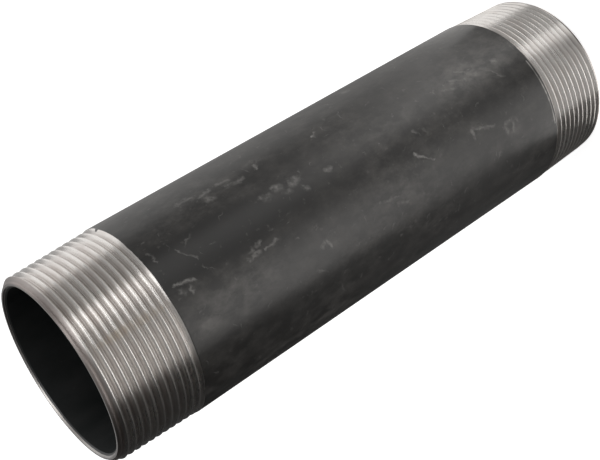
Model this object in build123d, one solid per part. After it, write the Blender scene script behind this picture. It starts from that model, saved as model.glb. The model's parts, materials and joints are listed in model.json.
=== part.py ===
"""Pipe nipple: a length of black steel pipe with a tapered pipe thread cut on each end.

Millimetres. The pipe stands on its lower end: the origin is the centre of that end face and +Z runs up the axis.
The threaded ends are turned to the thread's crests; the helical cut itself is finish detail.
"""
from build123d import *
import math
import os

# Pipe
outside_d = 60.3
wall = 3.9
length = 200.0

# Tapered thread of 55 degree form; the taper is on the diameter, and the crests run out into the pipe's outside
threads_per_inch = 11
flank_angle_deg = 55
taper = 1 / 16
upper_thread_length = 27.3
lower_thread_length = 25.0

# Ends: sawn square, reamed inside, and bevelled outside to just below the thread's root
bore_chamfer = 0.9
bevel_angle_deg = 45
bevel_below_root = 0.1

outside_r = outside_d / 2
bore_r = outside_r - wall
pitch = 25.4 / threads_per_inch
sharp_thread_height = pitch / 2 / math.tan(math.radians(flank_angle_deg / 2))
thread_height = sharp_thread_height * 2 / 3


def end_outline(thread_length):
    """Half section of one end, from the bore to the plain pipe: radius, and height above the end face."""
    crest_slope = taper / 2
    crest_r_at_face = outside_r - crest_slope * thread_length
    face_outer_r = crest_r_at_face - thread_height - bevel_below_root
    bevel_slope = math.tan(math.radians(bevel_angle_deg))
    bevel_height = (crest_r_at_face - face_outer_r) / (bevel_slope - crest_slope)
    return [
        (bore_r, bore_chamfer),
        (bore_r + bore_chamfer, 0),
        (face_outer_r, 0),
        (face_outer_r + bevel_slope * bevel_height, bevel_height),
        (outside_r, thread_length),
    ]


def pipe_nipple():
    """The pipe, turned from one half section."""
    lower_end = end_outline(lower_thread_length)
    upper_end = [(r, length - z) for r, z in reversed(end_outline(upper_thread_length))]
    half_section = make_face(Polyline(*lower_end, *upper_end, close=True))
    return revolve(Plane.XZ * half_section, Axis.Z)


nipple = pipe_nipple()
os.makedirs("parts", exist_ok=True)
export_step(nipple, "parts/pipe_nipple.step")
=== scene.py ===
import json
import math

import bpy
from mathutils import Euler, Matrix, Vector


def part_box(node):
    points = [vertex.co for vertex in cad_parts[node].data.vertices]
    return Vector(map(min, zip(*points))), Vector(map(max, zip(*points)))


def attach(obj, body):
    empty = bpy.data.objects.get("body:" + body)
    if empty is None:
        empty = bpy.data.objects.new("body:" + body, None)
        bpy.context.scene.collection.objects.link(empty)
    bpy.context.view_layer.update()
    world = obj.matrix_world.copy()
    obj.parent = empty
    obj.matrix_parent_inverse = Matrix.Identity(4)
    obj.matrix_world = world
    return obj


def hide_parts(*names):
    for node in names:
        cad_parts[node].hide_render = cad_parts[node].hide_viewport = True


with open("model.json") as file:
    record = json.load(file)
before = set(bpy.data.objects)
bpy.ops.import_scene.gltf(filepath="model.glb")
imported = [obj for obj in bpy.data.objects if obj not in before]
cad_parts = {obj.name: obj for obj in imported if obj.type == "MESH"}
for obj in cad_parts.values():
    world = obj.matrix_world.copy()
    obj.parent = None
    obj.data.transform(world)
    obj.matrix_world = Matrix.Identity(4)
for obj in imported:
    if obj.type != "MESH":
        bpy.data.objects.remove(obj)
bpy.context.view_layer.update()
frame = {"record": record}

# Lengths are metres; MM turns a size in millimetres into metres
MM = 0.001
NODE = "pipe_nipple"

# Sizes that the solid already has
solid_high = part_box(NODE)[1]
outside_r = solid_high.x
length = solid_high.z
mounts = {mount["name"]: mount for mount in frame["record"]["mounts"]}
bore_r = mounts["bore"]["dims"]["r_mm"] * MM
bore_length = mounts["bore"]["dims"]["length_mm"] * MM
plain_length = mounts["plain_body"]["dims"]["length_mm"] * MM
plain_middle = mounts["plain_body"]["pos_m"][2]
bore_chamfer = (length - bore_length) / 2
lower_thread_length = plain_middle - plain_length / 2
upper_thread_length = length - plain_middle - plain_length / 2

# Tapered thread of 55 degree form, 11 to the inch
pitch = 25.4 * MM / 11
half_flank = math.radians(55 / 2)
thread_height = pitch / 3 / math.tan(half_flank)
crest_slope = 1 / 32
bevel_below_root = 0.1 * MM
washout_length = 0.6 * pitch
# How far the flanks blend into crest and root, and how far short of each thread's end its bright steel stops
rounding = 1.7 * MM
lower_bare_short = 1.6 * MM
upper_bare_short = 0.1 * MM

# Fineness of the mesh
columns = 216
rows_per_pitch = 12
# Plain pipe that each threaded strip keeps past its run-out, and half the width of a crest as a share of the pitch
clear = 0.4 * MM
half_crest = 1 / 12
weld_distance = 0.002 * MM


class Number:
    """A number that flows through a node tree: arithmetic on it adds Math nodes."""

    def __init__(self, tree, socket):
        self.tree = tree
        self.socket = socket

    def math(self, operation, *others, clamp=False):
        node = self.tree.nodes.new("ShaderNodeMath")
        node.operation = operation
        node.use_clamp = clamp
        for socket, value in zip(node.inputs, (self, *others)):
            plug(self.tree, socket, value)
        return Number(self.tree, node.outputs[0])

    def __add__(self, other):
        return self.math("ADD", other)

    __radd__ = __add__

    def __sub__(self, other):
        return self.math("SUBTRACT", other)

    def __rsub__(self, other):
        return (self * -1.0).math("ADD", other)

    def __mul__(self, other):
        return self.math("MULTIPLY", other)

    __rmul__ = __mul__

    def __truediv__(self, other):
        return self.math("DIVIDE", other)

    def least(self, other):
        return self.math("MINIMUM", other)

    def most(self, other):
        return self.math("MAXIMUM", other)

    def between(self, low, high):
        """0 below low, 1 above high, and a straight ramp from one to the other."""
        node = self.tree.nodes.new("ShaderNodeMapRange")
        node.clamp = True
        for name, value in (("Value", self), ("From Min", low), ("From Max", high)):
            plug(self.tree, node.inputs[name], value)
        return Number(self.tree, node.outputs["Result"])


def plug(tree, socket, value):
    """Gives a socket a Number, another socket or a plain value."""
    if isinstance(value, Number):
        tree.links.new(value.socket, socket)
    elif isinstance(value, bpy.types.NodeSocket):
        tree.links.new(value, socket)
    else:
        socket.default_value = value


def add_node(tree, kind, settings=None, **inputs):
    """A node with its settings and inputs; an input named with underscores has spaces in Blender."""
    node = tree.nodes.new(kind)
    for name, value in (settings or {}).items():
        setattr(node, name, value)
    for name, value in inputs.items():
        plug(tree, node.inputs[name.replace("_", " ")], value)
    return node


# The nipple's skin, and the finishes on its outside, ends and bore

OUTSIDE = "black_varnish_and_cut_thread"
END_FACE = "faced_steel_end"
BORE = "scaled_bore"
SIZES = {
    "Outside Radius": outside_r,
    "Bore Radius": bore_r,
    "Length": length,
    "Bore Chamfer": bore_chamfer,
    "Lower Thread Length": lower_thread_length,
    "Upper Thread Length": upper_thread_length,
    "Pitch": pitch,
    "Thread Height": thread_height,
    "Crest Slope": crest_slope,
    "Washout Length": washout_length,
    "Bevel Below Root": bevel_below_root,
    "Lower Thread Start": 0.07 * pitch,
    "Upper Thread Start": 0.34 * pitch,
}


def mesh_place(tree):
    """Where a point of the mesh is, along x and y."""
    place = add_node(tree, "GeometryNodeInputPosition").outputs["Position"]
    parts = add_node(tree, "ShaderNodeSeparateXYZ", None, Vector=place)
    return Number(tree, parts.outputs["X"]), Number(tree, parts.outputs["Y"])


def band(tree, rows, finish, place):
    """A strip of mesh right round the axis. place(turn, row) gives its radius, height and marks."""
    grid = add_node(tree, "GeometryNodeMeshGrid", None, Size_X=1.0, Size_Y=float(rows), Vertices_X=columns + 1,
                    Vertices_Y=rows + 1)
    x, y = mesh_place(tree)
    turn = x + 0.5
    row = (y + rows / 2).math("ROUND")
    radius, height, marks = place(turn, row)
    angle = turn * (2 * math.pi)
    position = add_node(tree, "ShaderNodeCombineXYZ", None, X=radius * angle.math("COSINE"),
                        Y=radius * angle.math("SINE"), Z=height)
    strip = grid.outputs["Mesh"]
    for name, value in zip(("bare", "depth"), marks):
        marked = add_node(tree, "GeometryNodeStoreNamedAttribute", {"data_type": "FLOAT", "domain": "POINT"},
                          Geometry=strip, Name=name, Value=value)
        strip = marked.outputs["Geometry"]
    moved = add_node(tree, "GeometryNodeSetPosition", None, Geometry=strip, Position=position.outputs["Vector"])
    material = add_node(tree, "GeometryNodeSetMaterial", None, Geometry=moved.outputs["Geometry"])
    material.inputs["Material"].default_value = bpy.data.materials[finish]
    return material.outputs["Geometry"]


def cone_band(tree, rows, finish, start, end):
    """A straight strip from one circle (radius, height) to another."""
    def place(turn, row):
        share = row / float(rows)
        radius = share * (end[0] - start[0]) + start[0]
        height = share * (end[1] - start[1]) + start[1]
        return radius, height, (0.0, 0.0)
    return band(tree, rows, finish, place)


def thread_band(tree, size, thread_length, from_end, start, low, high, rows, bare_reach):
    """The cut end of the pipe. Rows of the mesh follow the helix, so every crest and root is a row."""
    def place(turn, row):
        first_height = low - 2.0 * size["Pitch"] + start
        raw_height = row * (size["Pitch"] / rows_per_pitch) + first_height + turn * size["Pitch"]
        height = raw_height.most(low).least(high)
        from_face = from_end(height)
        share = (row / float(rows_per_pitch)).math("FRACT")
        off_crest = share.least(1.0 - share)
        flank = (off_crest - half_crest) * (size["Pitch"] * (1 / math.tan(half_flank)))
        depth = flank.math("SMOOTH_MAX", 0.0, rounding).math("SMOOTH_MIN", size["Thread Height"], rounding)
        before_plain = thread_length - from_face
        crest = size["Outside Radius"] - before_plain.most(0.0) * size["Crest Slope"]
        washout_slope = size["Thread Height"] / size["Washout Length"] + size["Crest Slope"]
        washout = size["Outside Radius"] - before_plain * washout_slope
        cut = (crest - depth).most(washout).least(crest)
        bevel = face_radius(size, thread_length) + from_face
        radius = cut.least(bevel)
        in_groove = (crest - cut).between(0.03 * MM, 0.12 * MM)
        bare = (bare_reach - from_face).between(-0.1 * MM, 0.1 * MM).most(in_groove)
        return radius, height, (bare, (crest - radius) / size["Thread Height"])
    return band(tree, rows, OUTSIDE, place)


def face_radius(size, thread_length):
    """Outer radius of the flat end face."""
    crest_at_face = size["Outside Radius"] - thread_length * size["Crest Slope"]
    return crest_at_face - size["Thread Height"] - size["Bevel Below Root"]


def nipple_tree():
    """Geometry Nodes tree of the whole skin: threads, plain length, end faces, chamfers and bore."""
    tree = bpy.data.node_groups.new("threaded_pipe_skin", "GeometryNodeTree")
    tree.interface.new_socket("Geometry", in_out="OUTPUT", socket_type="NodeSocketGeometry")
    for name in SIZES:
        tree.interface.new_socket(name, in_out="INPUT", socket_type="NodeSocketFloat")
    group_in = tree.nodes.new("NodeGroupInput")
    size = {name: Number(tree, group_in.outputs[name]) for name in SIZES}
    lower, upper = size["Lower Thread Length"], size["Upper Thread Length"]
    end, outside = size["Length"], size["Outside Radius"]
    bore, chamfer = size["Bore Radius"], size["Bore Chamfer"]
    lower_face, upper_face = face_radius(size, lower), face_radius(size, upper)
    lower_rows = rows_per_pitch * (math.ceil(lower_thread_length / pitch) + 3)
    upper_rows = rows_per_pitch * (math.ceil(upper_thread_length / pitch) + 3)
    lower_top = lower + clear
    upper_foot = end - upper - clear
    bands = [
        thread_band(tree, size, lower, lambda z: z, size["Lower Thread Start"], 0.0, lower_top,
                    lower_rows, lower - lower_bare_short),
        cone_band(tree, 24, OUTSIDE, (outside, lower_top), (outside, upper_foot)),
        thread_band(tree, size, upper, lambda z: end - z, size["Upper Thread Start"], upper_foot, end,
                    upper_rows, upper - upper_bare_short),
        cone_band(tree, 2, END_FACE, (upper_face, end), (bore + chamfer, end)),
        cone_band(tree, 2, END_FACE, (bore + chamfer, end), (bore, end - chamfer)),
        cone_band(tree, 12, BORE, (bore, end - chamfer), (bore, chamfer)),
        cone_band(tree, 2, END_FACE, (bore, chamfer), (bore + chamfer, 0.0)),
        cone_band(tree, 2, END_FACE, (bore + chamfer, 0.0), (lower_face, 0.0)),
    ]
    joined = tree.nodes.new("GeometryNodeJoinGeometry")
    for strip in bands:
        tree.links.new(strip, joined.inputs["Geometry"])
    welded = add_node(tree, "GeometryNodeMergeByDistance", None, Geometry=joined.outputs["Geometry"],
                      Distance=weld_distance)
    smooth = add_node(tree, "GeometryNodeSetShadeSmooth", None, Geometry=welded.outputs["Geometry"])
    x, y = mesh_place(tree)
    inside_threads = (x * x + y * y).math("SQRT").math("LESS_THAN", lower_face.most(upper_face) + 0.03 * MM)
    bend = Number(tree, add_node(tree, "GeometryNodeInputMeshEdgeAngle").outputs["Unsigned Angle"])
    corner = inside_threads * bend.math("GREATER_THAN", math.radians(25))
    crisp = add_node(tree, "GeometryNodeSetShadeSmooth", {"domain": "EDGE"}, Shade_Smooth=False, Selection=corner,
                     Geometry=smooth.outputs["Geometry"])
    real = add_node(tree, "GeometryNodeRealizeInstances", None, Geometry=crisp.outputs["Geometry"])
    group_out = tree.nodes.new("NodeGroupOutput")
    tree.links.new(real.outputs["Geometry"], group_out.inputs["Geometry"])
    return tree


def make_nipple():
    """Runs the tree once and keeps its result as a plain mesh."""
    tree = nipple_tree()
    carrier = bpy.data.objects.new("carrier", bpy.data.meshes.new("carrier"))
    bpy.context.scene.collection.objects.link(carrier)
    modifier = carrier.modifiers.new("skin", "NODES")
    modifier.node_group = tree
    identifiers = {item.name: item.identifier for item in tree.interface.items_tree if item.in_out == "INPUT"}
    for name, value in SIZES.items():
        modifier[identifiers[name]] = value
    bpy.context.view_layer.update()
    evaluated = carrier.evaluated_get(bpy.context.evaluated_depsgraph_get())
    mesh = bpy.data.meshes.new_from_object(evaluated)
    bpy.data.objects.remove(carrier)
    nipple = bpy.data.objects.new("threaded_pipe", mesh)
    bpy.context.scene.collection.objects.link(nipple)
    return nipple


def new_material(name):
    material = bpy.data.materials.new(name)
    material.use_nodes = True
    return material, material.node_tree, material.node_tree.nodes["Principled BSDF"]


def noise(tree, place, scale, detail=2.0, roughness=0.5):
    """Soft noise around 0.5; scale is how often it changes in a metre, along x, y and z."""
    stretched = add_node(tree, "ShaderNodeVectorMath", {"operation": "MULTIPLY"})
    plug(tree, stretched.inputs[0], place)
    plug(tree, stretched.inputs[1], scale)
    texture = add_node(tree, "ShaderNodeTexNoise", None, Vector=stretched.outputs[0], Scale=1.0, Detail=detail,
                       Roughness=roughness)
    return Number(tree, texture.outputs[0])


def mixed(tree, share, first, second):
    """A colour that goes from first to second as share goes from 0 to 1."""
    mix = add_node(tree, "ShaderNodeMix", {"data_type": "RGBA"})
    plug(tree, mix.inputs[0], share)
    for socket, colour in ((mix.inputs[6], first), (mix.inputs[7], second)):
        plug(tree, socket, (*colour, 1.0) if isinstance(colour, tuple) else colour)
    return mix.outputs[2]


def attribute(tree, name):
    return Number(tree, add_node(tree, "ShaderNodeAttribute", {"attribute_name": name}).outputs["Fac"])


def own_place(tree):
    """Object coordinates, and their x, y and z."""
    place = tree.nodes.new("ShaderNodeTexCoord").outputs["Object"]
    parts = add_node(tree, "ShaderNodeSeparateXYZ", None, Vector=place)
    return place, *(Number(tree, parts.outputs[name]) for name in "XYZ")


def bumped(tree, shader, height_mm):
    bump = add_node(tree, "ShaderNodeBump", None, Height=height_mm, Distance=MM, Strength=1.0)
    plug(tree, shader.inputs["Normal"], bump.outputs["Normal"])


# The way round the outside, and how much wider than its line a scuff fades out
girth_mm = 2 * math.pi * outside_r / MM
scuff_softness = 1.6

# Scuffs of the varnish: millimetres below the upper end and degrees round from the front, at both
# ends of the stroke, then its width in millimetres and its strength
SCUFFS = [
    (116.2, 0.5, 119.5, 6.0, 0.45, 1.0),
    (119.5, 6.0, 122.8, 9.3, 0.35, 0.8),
    (94.4, -39.7, 96.4, -42.6, 0.40, 1.0),
    (72.4, -41.0, 73.5, -44.0, 0.45, 0.7),
    (53.0, 2.8, 56.5, 2.0, 0.55, 0.7),
    (58.5, 2.6, 63.5, 1.3, 0.40, 0.6),
    (56.5, -2.0, 57.5, -2.5, 0.60, 0.6),
    (54.5, -1.0, 55.0, 0.0, 0.60, 0.5),
    (30.5, -6.0, 36.3, -3.6, 0.40, 0.7),
    (31.0, -1.8, 31.5, -1.0, 0.80, 0.6),
    (34.0, -1.5, 34.4, 1.0, 0.45, 0.6),
    (29.5, -28.0, 30.5, -22.0, 0.30, 0.4),
    (37.4, -22.0, 39.8, -12.0, 0.25, 0.4),
    (47.0, -47.5, 52.0, -46.5, 0.60, 0.3),
    (53.5, -43.0, 57.0, -44.5, 0.70, 0.4),
    (60.0, -45.0, 64.5, -44.0, 0.50, 0.4),
    (62.0, -40.0, 67.0, -39.0, 0.60, 0.4),
    (54.5, -38.5, 56.0, -38.0, 0.90, 0.4),
    (67.0, -21.5, 69.0, -21.0, 0.90, 0.4),
    (72.0, -23.5, 73.0, -23.0, 1.10, 0.6),
    (77.5, -21.5, 79.0, -21.5, 1.10, 0.6),
    (73.5, -18.0, 75.5, -17.5, 0.80, 0.4),
    (79.5, -14.5, 80.0, -14.0, 0.80, 0.4),
    (74.0, 18.5, 75.5, 15.5, 0.45, 0.6),
    (76.5, 15.5, 77.8, 20.5, 0.45, 0.6),
    (89.0, -17.5, 90.0, -16.5, 0.70, 0.5),
    (98.0, 14.5, 105.0, 16.5, 0.35, 0.3),
    (104.0, 20.0, 108.5, 22.0, 0.50, 0.3),
    (121.0, -11.0, 122.0, -6.0, 0.45, 0.4),
    (124.5, -9.0, 125.5, -5.5, 0.45, 0.4),
    (118.2, -66.5, 120.5, -65.0, 0.90, 0.5),
    (139.5, 11.5, 140.3, 7.0, 0.55, 0.7),
    (141.0, 6.5, 143.5, 9.0, 0.45, 0.6),
    (144.0, 9.0, 148.5, 12.0, 0.40, 0.4),
    (152.6, 16.0, 153.5, 20.5, 0.60, 0.5),
    (153.5, 14.5, 156.0, 14.0, 0.60, 0.4),
    (156.5, 16.5, 156.0, 21.5, 0.60, 0.5),
    (141.0, -22.5, 144.0, -20.0, 0.60, 0.4),
    (145.0, -25.0, 150.0, -21.5, 0.70, 0.4),
    (150.0, -29.0, 152.5, -24.0, 0.50, 0.4),
    (160.0, -18.0, 162.0, -11.0, 0.40, 0.4),
    (163.5, -22.5, 164.5, -21.5, 0.80, 0.6),
]


# Rubbed, dusty places that also carry painted sheen: millimetres below the upper end and degrees round from the
# front, how far they reach along and round the pipe in millimetres, and their strength
RUBS_AND_PAINTED_SHEEN = [
    (46.0, 15.0, 20.0, 7.0, 0.8),
    (33.0, 20.0, 4.5, 3.5, 0.9),
    (33.0, -4.0, 5.0, 3.0, 0.5),
    (58.0, -43.0, 16.0, 3.5, 0.5),
    (73.0, -20.5, 8.0, 2.6, 0.9),
    (77.0, 18.0, 4.0, 2.6, 0.9),
    (74.0, -46.0, 4.0, 2.0, 0.7),
    (104.0, 13.0, 12.0, 4.0, 0.4),
    (118.0, -21.0, 14.0, 2.6, 0.6),
    (142.0, 8.0, 5.0, 3.0, 0.9),
    (157.0, 18.5, 5.0, 3.5, 0.9),
    (150.0, -21.0, 7.0, 3.6, 1.0),
    (156.0, -26.0, 26.0, 8.0, 0.8),
    (148.0, -66.0, 26.0, 3.5, 0.4),
]


def round_pipe(degrees):
    """How many millimetres that angle is along the outside."""
    return girth_mm * degrees / 360


def stroke(below_top, round_front, start, finish, width):
    """1 on the line of a scuff, falling to 0 at its width; all in millimetres."""
    run = (finish[0] - start[0], finish[1] - start[1])
    stretch = run[0] ** 2 + run[1] ** 2
    from_start = (below_top - start[0], round_front - start[1])
    share = ((from_start[0] * run[0] + from_start[1] * run[1]) * (1 / stretch)).most(0.0).least(1.0)
    off = (from_start[0] - share * run[0], from_start[1] - share * run[1])
    distance = (off[0] * off[0] + off[1] * off[1]).math("SQRT")
    return (distance * (-1 / width) + 1.0).most(0.0)


def oval_patch(below_top, round_front, centre, reach):
    """1 in the middle of an oval patch, falling to 0 at its reach along and round the pipe; all in millimetres."""
    along = (below_top - centre[0]) * (1 / reach[0])
    around = (round_front - centre[1]) * (1 / reach[1])
    return ((along * along + around * around) * -1.0 + 1.0).most(0.0)


def scattered_strokes(tree, below_top, turn, cells_around, reach, width, chance, seed):
    """Short scratches strewn over the whole pipe: at most one in each cell of a net laid round it."""
    cell = girth_mm / cells_around
    across, along = turn * float(cells_around), below_top * (1 / cell)
    corner = add_node(tree, "ShaderNodeCombineXYZ", None, X=across.math("FLOOR"), Y=along.math("FLOOR"), Z=seed)
    dice = add_node(tree, "ShaderNodeTexWhiteNoise", {"noise_dimensions": "3D"}, Vector=corner.outputs[0])
    rolled = add_node(tree, "ShaderNodeSeparateColor", None, Color=dice.outputs["Color"])
    first, second, third = (Number(tree, rolled.outputs[index]) for index in range(3))
    x = (across.math("FRACT") - 0.3 - first * 0.4) * cell
    y = (along.math("FRACT") - 0.3 - second * 0.4) * cell
    lean = third * math.pi
    cosine, sine = lean.math("COSINE"), lean.math("SINE")
    along_it = (x * cosine + y * sine).math("ABSOLUTE")
    off_it = (y * cosine - x * sine).math("ABSOLUTE")
    mask = (off_it * (-1 / width) + 1.0).most(0.0) * (along_it * (-1 / reach) + 1.0).most(0.0)
    return mask * Number(tree, dice.outputs["Value"]).between(1 - chance, 1 - chance + 0.01)


def pipe_outside_material():
    """Black varnish on the plain length, and bright steel where the dies have cut the threads."""
    material, tree, shader = new_material(OUTSIDE)
    place, x, y, z = own_place(tree)
    below_top = (length - z) * (1 / MM)
    turn = (x * -1.0).math("ARCTAN2", y * -1.0) * (1 / (2 * math.pi))
    round_mm = turn * girth_mm
    grain = noise(tree, place, (900.0, 900.0, 900.0), 4.0, 0.6)
    patches = noise(tree, place, (45.0, 45.0, 22.0), 3.0, 0.55)
    torn = noise(tree, place, (420.0, 420.0, 420.0), 3.0, 0.6)
    clouds = noise(tree, place, (240.0, 240.0, 150.0), 4.0, 0.62)
    crumbs = noise(tree, place, (650.0, 650.0, 650.0), 2.0, 0.5)

    # Where the varnish is worn or scratched; the wobble keeps the strokes from looking ruled
    wobbly_below_top = below_top + (crumbs - 0.5) * 1.8 + (clouds - 0.5) * 5.0
    wobbly_round = round_mm + (torn - 0.5) * 2.8 + (crumbs - 0.5) * 1.0
    wobbly_turn = wobbly_round * (1 / girth_mm)
    wear = None
    for mm_1, degrees_1, mm_2, degrees_2, width, strength in SCUFFS:
        start, finish = (mm_1, round_pipe(degrees_1)), (mm_2, round_pipe(degrees_2))
        line = stroke(wobbly_below_top, wobbly_round, start, finish, width * scuff_softness) * strength
        wear = line if wear is None else wear.most(line)
    scattered = scattered_strokes(tree, wobbly_below_top, wobbly_turn, 20, 2.6, 0.30, 0.25, 1.0)
    scattered = scattered.most(scattered_strokes(tree, wobbly_below_top, wobbly_turn, 34, 1.3, 0.26, 0.35, 2.0))
    broken = crumbs.between(0.38, 0.60)
    # The varnish is darker along one long strip beside the upper thread, with less mottle and rubbing
    whole = oval_patch(below_top, round_mm, (45.0, -8.5), (42.0, 8.0)).between(0.0, 0.5)
    rubbed_zone = patches.between(0.46, 0.66) * (1.0 - whole)
    curls = noise(tree, place, (210.0, 210.0, 150.0), 3.0, 0.6) - 0.5
    curls = (curls.math("ABSOLUTE") * -16.0 + 1.0).most(0.0) * rubbed_zone
    wear = (wear * (broken * 0.7 + 0.3) * 0.75).most((scattered * 0.28).most(curls * 0.05) * broken).least(1.0)
    speckle = noise(tree, place, (520.0, 520.0, 520.0), 2.0, 0.5).between(0.67, 0.76)
    dust_and_sheen = None
    for mm, degrees, mm_along, mm_round, strength in RUBS_AND_PAINTED_SHEEN:
        spot = oval_patch(below_top, round_mm, (mm, round_pipe(degrees)), (mm_along, mm_round))
        dust_and_sheen = spot * strength if dust_and_sheen is None else dust_and_sheen + spot * strength
    mottle = clouds.between(0.40, 0.64) * (torn.between(0.30, 0.70) * 0.6 + 0.4) * (1.0 - whole * 0.5)
    rubbed_and_sheen = rubbed_zone * mottle * 0.5 + dust_and_sheen * mottle

    varnish = mixed(tree, mottle, (0.0125, 0.0115, 0.0105), (0.038, 0.035, 0.032))
    # Darker varnish on the long strip beside the upper thread
    varnish = mixed(tree, whole * 0.7, varnish, (0.006, 0.0055, 0.005))
    # Rubbed and dusty places, partly painted sheen, and dust speckles lighten the varnish
    varnish = mixed(tree, (rubbed_and_sheen * 0.6 + speckle * 0.30).least(1.0), varnish, (0.135, 0.127, 0.118))
    varnish = mixed(tree, wear, varnish, (0.40, 0.385, 0.365))

    # Cut steel
    depth = attribute(tree, "depth")
    turning = noise(tree, place, (60.0, 60.0, 5200.0), 3.0, 0.6)
    long_turning = noise(tree, place, (25.0, 25.0, 1500.0), 2.0, 0.5)
    bloom = noise(tree, place, (110.0, 110.0, 300.0), 3.0, 0.6)
    steel = mixed(tree, turning, (0.56, 0.535, 0.51), (0.72, 0.695, 0.67))
    steel = mixed(tree, bloom.between(0.45, 0.75) * 0.5, steel, (0.48, 0.43, 0.40))
    # A narrow brownish stripe along the upper thread at the front of the pipe
    front_stripe = oval_patch(below_top, round_mm, (14.0, -0.3), (14.0, 1.8)) * clouds.between(0.3, 0.6)
    steel = mixed(tree, front_stripe * 0.4, steel, (0.62, 0.53, 0.42))
    # The thread roots are darker: partly oxide, partly painted shade in the grooves
    root = depth.between(0.5, 0.95) * (long_turning.between(0.3, 0.7) * 0.5 + 0.5)
    steel = mixed(tree, root * 0.75, steel, (0.22, 0.18, 0.165))

    # The bevels are duller, and the lacquer has kept one fleck beside the upper thread
    from_end = below_top.least(length / MM - below_top)
    bevel = from_end.between(1.9, 1.5)
    steel = mixed(tree, bevel * 0.6, steel, (0.28, 0.235, 0.22))

    bare = attribute(tree, "bare")
    left_over = oval_patch(below_top, round_mm, (27.3, -36.0), (1.1, 1.3)).between(0.1, 0.8) * 0.8
    bare = bare - left_over * bare.between(0.0, 1.0)
    ragged = (bare + (torn - 0.5) * 0.9 * bare.between(0.02, 0.5) * bare.between(0.98, 0.5)).between(0.42, 0.58)
    # The last crests of the lower die only graze the pipe
    run_out = stroke(below_top, round_mm, (174.9, -11.5), (175.2, 17.0), 0.40) * 0.8
    run_out = run_out.most(stroke(below_top, round_mm, (173.9, -6.0), (174.2, 17.0), 0.35) * 0.6)
    ragged = ragged.most(run_out * (broken * 0.5 + 0.5))
    # Both dies and straightening rolls leave fine lines round the pipe, which stretch a reflection along it
    around = add_node(tree, "ShaderNodeTangent", {"direction_type": "RADIAL", "axis": "Z"})
    plug(tree, shader.inputs["Tangent"], around.outputs["Tangent"])
    shader.inputs["Anisotropic"].default_value = 0.85
    shader.inputs["Anisotropic Rotation"].default_value = 0.25
    plug(tree, shader.inputs["Base Color"], mixed(tree, ragged, varnish, steel))
    plug(tree, shader.inputs["Metallic"], ragged)
    varnish_rough = patches * 0.16 + grain * 0.10 + wear * 0.2 + 0.22
    steel_rough = turning * 0.06 + bloom * 0.06 + bevel * 0.25 + 0.22
    plug(tree, shader.inputs["Roughness"], varnish_rough + ragged * (steel_rough - varnish_rough))
    varnish_height = grain * 0.012 + patches * 0.05 - wear * 0.01
    steel_height = turning * 0.012 + long_turning * 0.008
    bumped(tree, shader, varnish_height + ragged * (steel_height - varnish_height))
    return material


def end_face_material():
    """Faced and chamfered ends, with the rings that the tool leaves."""
    material, tree, shader = new_material(END_FACE)
    place, x, y, z = own_place(tree)
    radius = (x * x + y * y).math("SQRT")
    rings_at = add_node(tree, "ShaderNodeCombineXYZ", None, X=radius * 5200.0, Y=z * 5200.0, Z=0.0)
    rings = Number(tree, add_node(tree, "ShaderNodeTexNoise", None, Vector=rings_at.outputs[0], Scale=1.0,
                                  Detail=2.0).outputs[0])
    blotch = noise(tree, place, (120.0, 120.0, 120.0), 3.0, 0.6)
    steel = mixed(tree, rings, (0.42, 0.40, 0.385), (0.66, 0.635, 0.61))
    steel = mixed(tree, blotch.between(0.45, 0.75) * 0.7, steel, (0.30, 0.27, 0.25))
    # The reamer has left the inner edge of the bore's chamfer black, and one side of the face is darkened as painted
    # shade
    side = ((x * 0.35 + y * 0.94) * (1 / outside_r)).between(-0.3, 0.5)
    faced = (radius + (blotch - 0.5) * (0.5 * MM)).between(bore_r + 0.38 * MM, bore_r + 0.48 * MM)
    flat = (radius + (blotch - 0.5) * (0.1 * MM)).between(bore_r + bore_chamfer, bore_r + bore_chamfer + 0.05 * MM)
    steel = mixed(tree, flat * 0.5 + side * 0.35, steel, (0.16, 0.15, 0.14))
    plug(tree, shader.inputs["Base Color"], mixed(tree, faced, (0.014, 0.015, 0.015), steel))
    plug(tree, shader.inputs["Metallic"], faced)
    plug(tree, shader.inputs["Roughness"], rings * 0.2 + blotch * 0.2 + 0.14)
    bumped(tree, shader, rings * 0.01 + blotch * 0.02)
    return material


def bore_material():
    """Dark mill scale inside."""
    material, tree, shader = new_material(BORE)
    place, x, y, z = own_place(tree)
    flakes = noise(tree, place, (160.0, 160.0, 60.0), 4.0, 0.6)
    fine = noise(tree, place, (1200.0, 1200.0, 900.0), 3.0, 0.6)
    scale = mixed(tree, flakes.between(0.35, 0.7), (0.004, 0.006, 0.006), (0.012, 0.013, 0.013))
    plug(tree, shader.inputs["Base Color"], mixed(tree, fine.between(0.66, 0.8) * 0.4, scale, (0.06, 0.055, 0.05)))
    plug(tree, shader.inputs["Roughness"], flakes * 0.2 + fine * 0.1 + 0.42)
    bumped(tree, shader, flakes * 0.06 + fine * 0.02)
    return material


pipe_outside_material()
end_face_material()
bore_material()
nipple = make_nipple()

# Camera, where the photograph was taken from; its long side is rolled so that the pipe lies across the frame
camera_distance = 302.3 * MM
camera_height = 275.7 * MM
camera_down_deg = 28.26
camera_aside_deg = 0.353
camera_roll_deg = -121.96
camera_lens_mm = 66.7


def add_camera():
    camera = bpy.data.objects.new("camera", bpy.data.cameras.new("camera"))
    bpy.context.scene.collection.objects.link(camera)
    camera.data.sensor_width = 36
    camera.data.lens = camera_lens_mm
    camera.data.clip_start = 0.01
    look = Euler((math.radians(90 - camera_down_deg), 0, math.radians(camera_aside_deg))).to_matrix().to_4x4()
    roll = Matrix.Rotation(math.radians(camera_roll_deg), 4, "Z")
    camera.matrix_world = Matrix.Translation((0, -camera_distance, camera_height)) @ look @ roll
    bpy.context.scene.camera = camera


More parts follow.
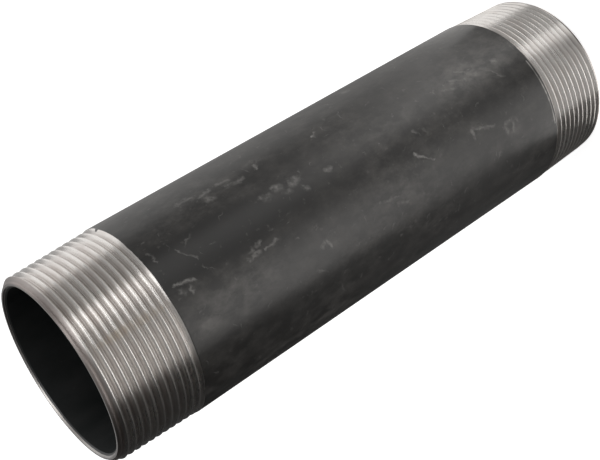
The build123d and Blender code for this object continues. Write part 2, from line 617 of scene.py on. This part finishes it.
def flat_piece(name, corners, material):
    mesh = bpy.data.meshes.new(name)
    mesh.from_pydata(corners, [], [tuple(range(len(corners)))])
    mesh.materials.append(material)
    piece = bpy.data.objects.new(name, mesh)
    bpy.context.scene.collection.objects.link(piece)
    return piece


def add_floor():
    """A pale floor. The camera and reflections see it almost white, and it keeps the soft shadow."""
    material, tree, shader = new_material("pale_floor")
    shader.inputs["Base Color"].default_value = (0.80, 0.80, 0.80, 1)
    shader.inputs["Roughness"].default_value = 1.0
    ray = tree.nodes.new("ShaderNodeLightPath")
    seen = Number(tree, ray.outputs["Is Camera Ray"]).most(Number(tree, ray.outputs["Is Glossy Ray"]))
    seen = seen.most(Number(tree, ray.outputs["Is Transmission Ray"]))
    shader.inputs["Emission Color"].default_value = (1, 1, 1, 1)
    plug(tree, shader.inputs["Emission Strength"], seen * 0.75)
    half = 3.0
    flat_piece("floor", [(-half, -half, 0), (half, -half, 0), (half, half, 0), (-half, half, 0)], material)


def glow_material(name, brightness=1.0, tint=(1.0, 1.0, 1.0)):
    material = bpy.data.materials.new(name)
    material.use_nodes = True
    tree = material.node_tree
    tree.nodes.clear()
    glow = add_node(tree, "ShaderNodeEmission", None, Color=(*tint, 1.0), Strength=brightness)
    output = tree.nodes.new("ShaderNodeOutputMaterial")
    tree.links.new(glow.outputs[0], output.inputs["Surface"])
    return material, glow


def card(name, corners, material):
    """A card that only shows in reflections: dark to hold light off a side, or pale to bring it."""
    piece = flat_piece(name, corners, material)
    piece.visible_camera = False
    piece.visible_diffuse = False
    piece.visible_shadow = False
    piece.visible_transmission = False
    return piece


# How bright the card round the foot of the pipe is, by half the angle round from the front: what a surface
# turned that many degrees from the camera reflects. Each ring fades in between two distances from the axis
CARD_RINGS = [
    (0.0, 0.01, [(-90, 0.6), (-70, 0.8), (-60, 1.35), (-43.5, 1.4), (-41.5, 0.22), (-24, 0.22), (-21, 1.2),
                 (-17, 1.1), (-13, 0.4), (-3, 0.05), (0, 0.8), (8, 2.4), (25, 2.5), (30, 2.0), (32, 0.12), (45, 0.12),
                 (90, 0.08)]),
    (0.055, 0.075, [(-90, 0.3), (-70, 0.4), (-50, 0.9), (-40, 1.6), (-30, 2.8), (-23, 3.6), (-15, 2.8), (-10, 1.6),
                    (0, 1.0), (10, 1.1), (20, 1.1), (30, 0.7), (38, 0.4), (50, 0.2), (90, 0.1)]),
    (0.09, 0.27, [(-90, 0.2), (-70, 0.5), (-50, 1.0), (-40, 0.3), (-30, 0.0), (-10, 0.0), (-4, 0.3), (3, 1.8),
                  (12, 3.4), (20, 3.4), (27, 2.8), (33, 1.0), (38, 0.5), (50, 0.3), (60, 0.1), (90, 0.02)]),
    (0.45, 0.49, [(-90, 0.35), (-70, 0.65), (-60, 0.85), (-46, 1.0), (-44, 0.66), (-24, 0.62), (-21.5, 1.9),
                  (-17, 1.9), (-12, 1.6), (-3, 1.4), (-1, 0.70), (5, 0.45), (15, 0.42), (30, 0.40), (32, 0.05),
                  (60, 0.02), (90, 0.01)]),
]
BRIGHTEST = 5.0
card_radius = 1.5
card_above_floor = 0.0003
CARD_BRIGHTNESS = {
    "pale_card": 1.25,
    "bright_card": 3.2,
    "soft_card": 0.45,
    "dim_card": 0.10,
    "grey_card": 0.05,
    "dark_card": 0.02,
}


def add_floor_card():
    material, glow = glow_material("floor_card", 1.0, (1.0, 0.985, 0.965))
    tree = material.node_tree
    place, x, y, z = own_place(tree)
    distance = (x * x + y * y).math("SQRT")
    share = (x * -1.0).math("ARCTAN2", y * -1.0) * (1 / (2 * math.pi)) + 0.5
    light = None
    for fades_in, reach, stops in CARD_RINGS:
        ramp = tree.nodes.new("ShaderNodeValToRGB")
        plug(tree, ramp.inputs["Fac"], share)
        elements = ramp.color_ramp.elements
        while len(elements) < len(stops):
            elements.new(0.5)
        for element, (degrees, brightness) in zip(elements, stops):
            element.position = degrees / 180 + 0.5
            value = brightness / BRIGHTEST
            element.color = (value, value, value, 1.0)
        ring = Number(tree, ramp.outputs["Color"]) * BRIGHTEST
        if light is None:
            light = ring
        else:
            light = light + (ring - light) * distance.between(fades_in, reach)
    plug(tree, glow.inputs["Strength"], light * distance.math("GREATER_THAN", bore_r))
    steps = [step * math.pi / 12 for step in range(24)]
    edge = [(card_radius * math.sin(step), card_radius * math.cos(step), card_above_floor) for step in steps]
    card("floor_card", edge, material)


def soft_box(name, place, aim, size, brightness, turned_deg=0):
    """An area light that neither the camera nor a reflection sees; brightness 1 looks white."""
    light = bpy.data.lights.new(name, "AREA")
    light.shape = "RECTANGLE"
    light.size, light.size_y = size
    light.energy = brightness * math.pi * size[0] * size[1]
    piece = bpy.data.objects.new(name, light)
    piece.visible_camera = False
    piece.visible_glossy = False
    piece.location = place
    turned = Matrix.Rotation(math.radians(turned_deg), 3, "Z")
    aimed = (Vector(aim) - Vector(place)).to_track_quat("-Z", "Y").to_matrix()
    piece.rotation_euler = (turned @ aimed).to_euler()
    bpy.context.scene.collection.objects.link(piece)
    return piece


world_brightness = 0.45


def add_light():
    world = bpy.data.worlds.new("studio")
    bpy.context.scene.world = world
    world.use_nodes = True
    world.node_tree.nodes["Background"].inputs["Color"].default_value = (1, 1, 1, 1)
    world.node_tree.nodes["Background"].inputs["Strength"].default_value = world_brightness
    soft_box("overhead_strip", (0.50, -0.45, 1.0), (0.50, -0.45, 0.0), (0.19, 1.75), 2.3, 20.8)
    soft_box("side_box", (0.9, 0.3, 0.7), (0.0, 0.0, 0.1), (0.9, 0.9), 1.3)


def overhead_card(name, outline, material):
    card(name, [(x, y, 1.0) for x, y in outline], material)


def side_card(name, x, outline, material):
    card(name, [(x, y, z) for y, z in outline], material)


def add_cards():
    """What the pipe reflects: pale cards to its right and in front, a bright and a dim half overhead, dark left."""
    pale, bright, soft, dim, grey, dark = (
        glow_material(name, brightness)[0] for name, brightness in CARD_BRIGHTNESS.items())
    side_card("side_card", 0.6, [(-0.04, 0.0), (-0.03, 0.3), (0.03, 0.44), (0.2, 0.75), (0.72, 1.13), (0.85, 0.0)],
              pale)
    card("front_card", [(0.45, -1.2, 0.15), (1.02, -1.2, 0.15), (1.05, -1.2, 1.0), (0.45, -1.2, 1.0)], pale)
    overhead_card("overhead_back_card", [(0.10, 0.60), (0.03, 0.60), (0.05, -0.28), (0.27, -0.28), (0.15, 0.27)],
                  bright)
    overhead_card("overhead_card", [(0.10, 0.60), (0.15, 0.27), (0.27, -0.28), (0.47, -0.28), (0.38, -0.12),
                                    (0.24, 0.31), (0.17, 0.60)], bright)
    overhead_card("overhead_front_card", [(0.27, -0.28), (0.42, -0.80), (0.50, -1.2), (1.0, -1.2), (0.78, -0.82),
                                          (0.58, -0.50), (0.47, -0.28)], pale)
    overhead_card("overhead_dim_card", [(0.05, -0.28), (0.03, 1.5), (-2.0, 1.5), (-2.0, -0.28)], dim)
    overhead_card("front_soft_card", [(0.05, -0.28), (-0.80, -0.28), (-1.02, -0.45), (-1.30, -0.68),
                                      (-1.60, -0.95), (-2.40, -1.8), (0.16, -1.8)], soft)
    overhead_card("far_dark_card", [(-0.80, -0.28), (-3.0, -0.28), (-3.0, -1.8), (-2.40, -1.8), (-1.60, -0.95),
                                    (-1.30, -0.68), (-1.02, -0.45)], dark)
    side_card("dark_card", -0.35, [(-0.15, 0.33), (-0.12, 0.4), (0.01, 0.6), (0.42, 0.96), (0.6, 1.8), (1.8, 1.8),
                                   (1.8, 0.33)], dark)
    side_card("low_grey_card", -0.35, [(-0.22, 0.0), (-0.18, 0.25), (-0.15, 0.33), (1.8, 0.33), (1.8, 0.0)], grey)
    add_floor_card()


add_camera()
add_floor()
add_light()
add_cards()
bpy.context.scene.view_settings.view_transform = "Standard"
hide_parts(NODE)
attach(nipple, "root")
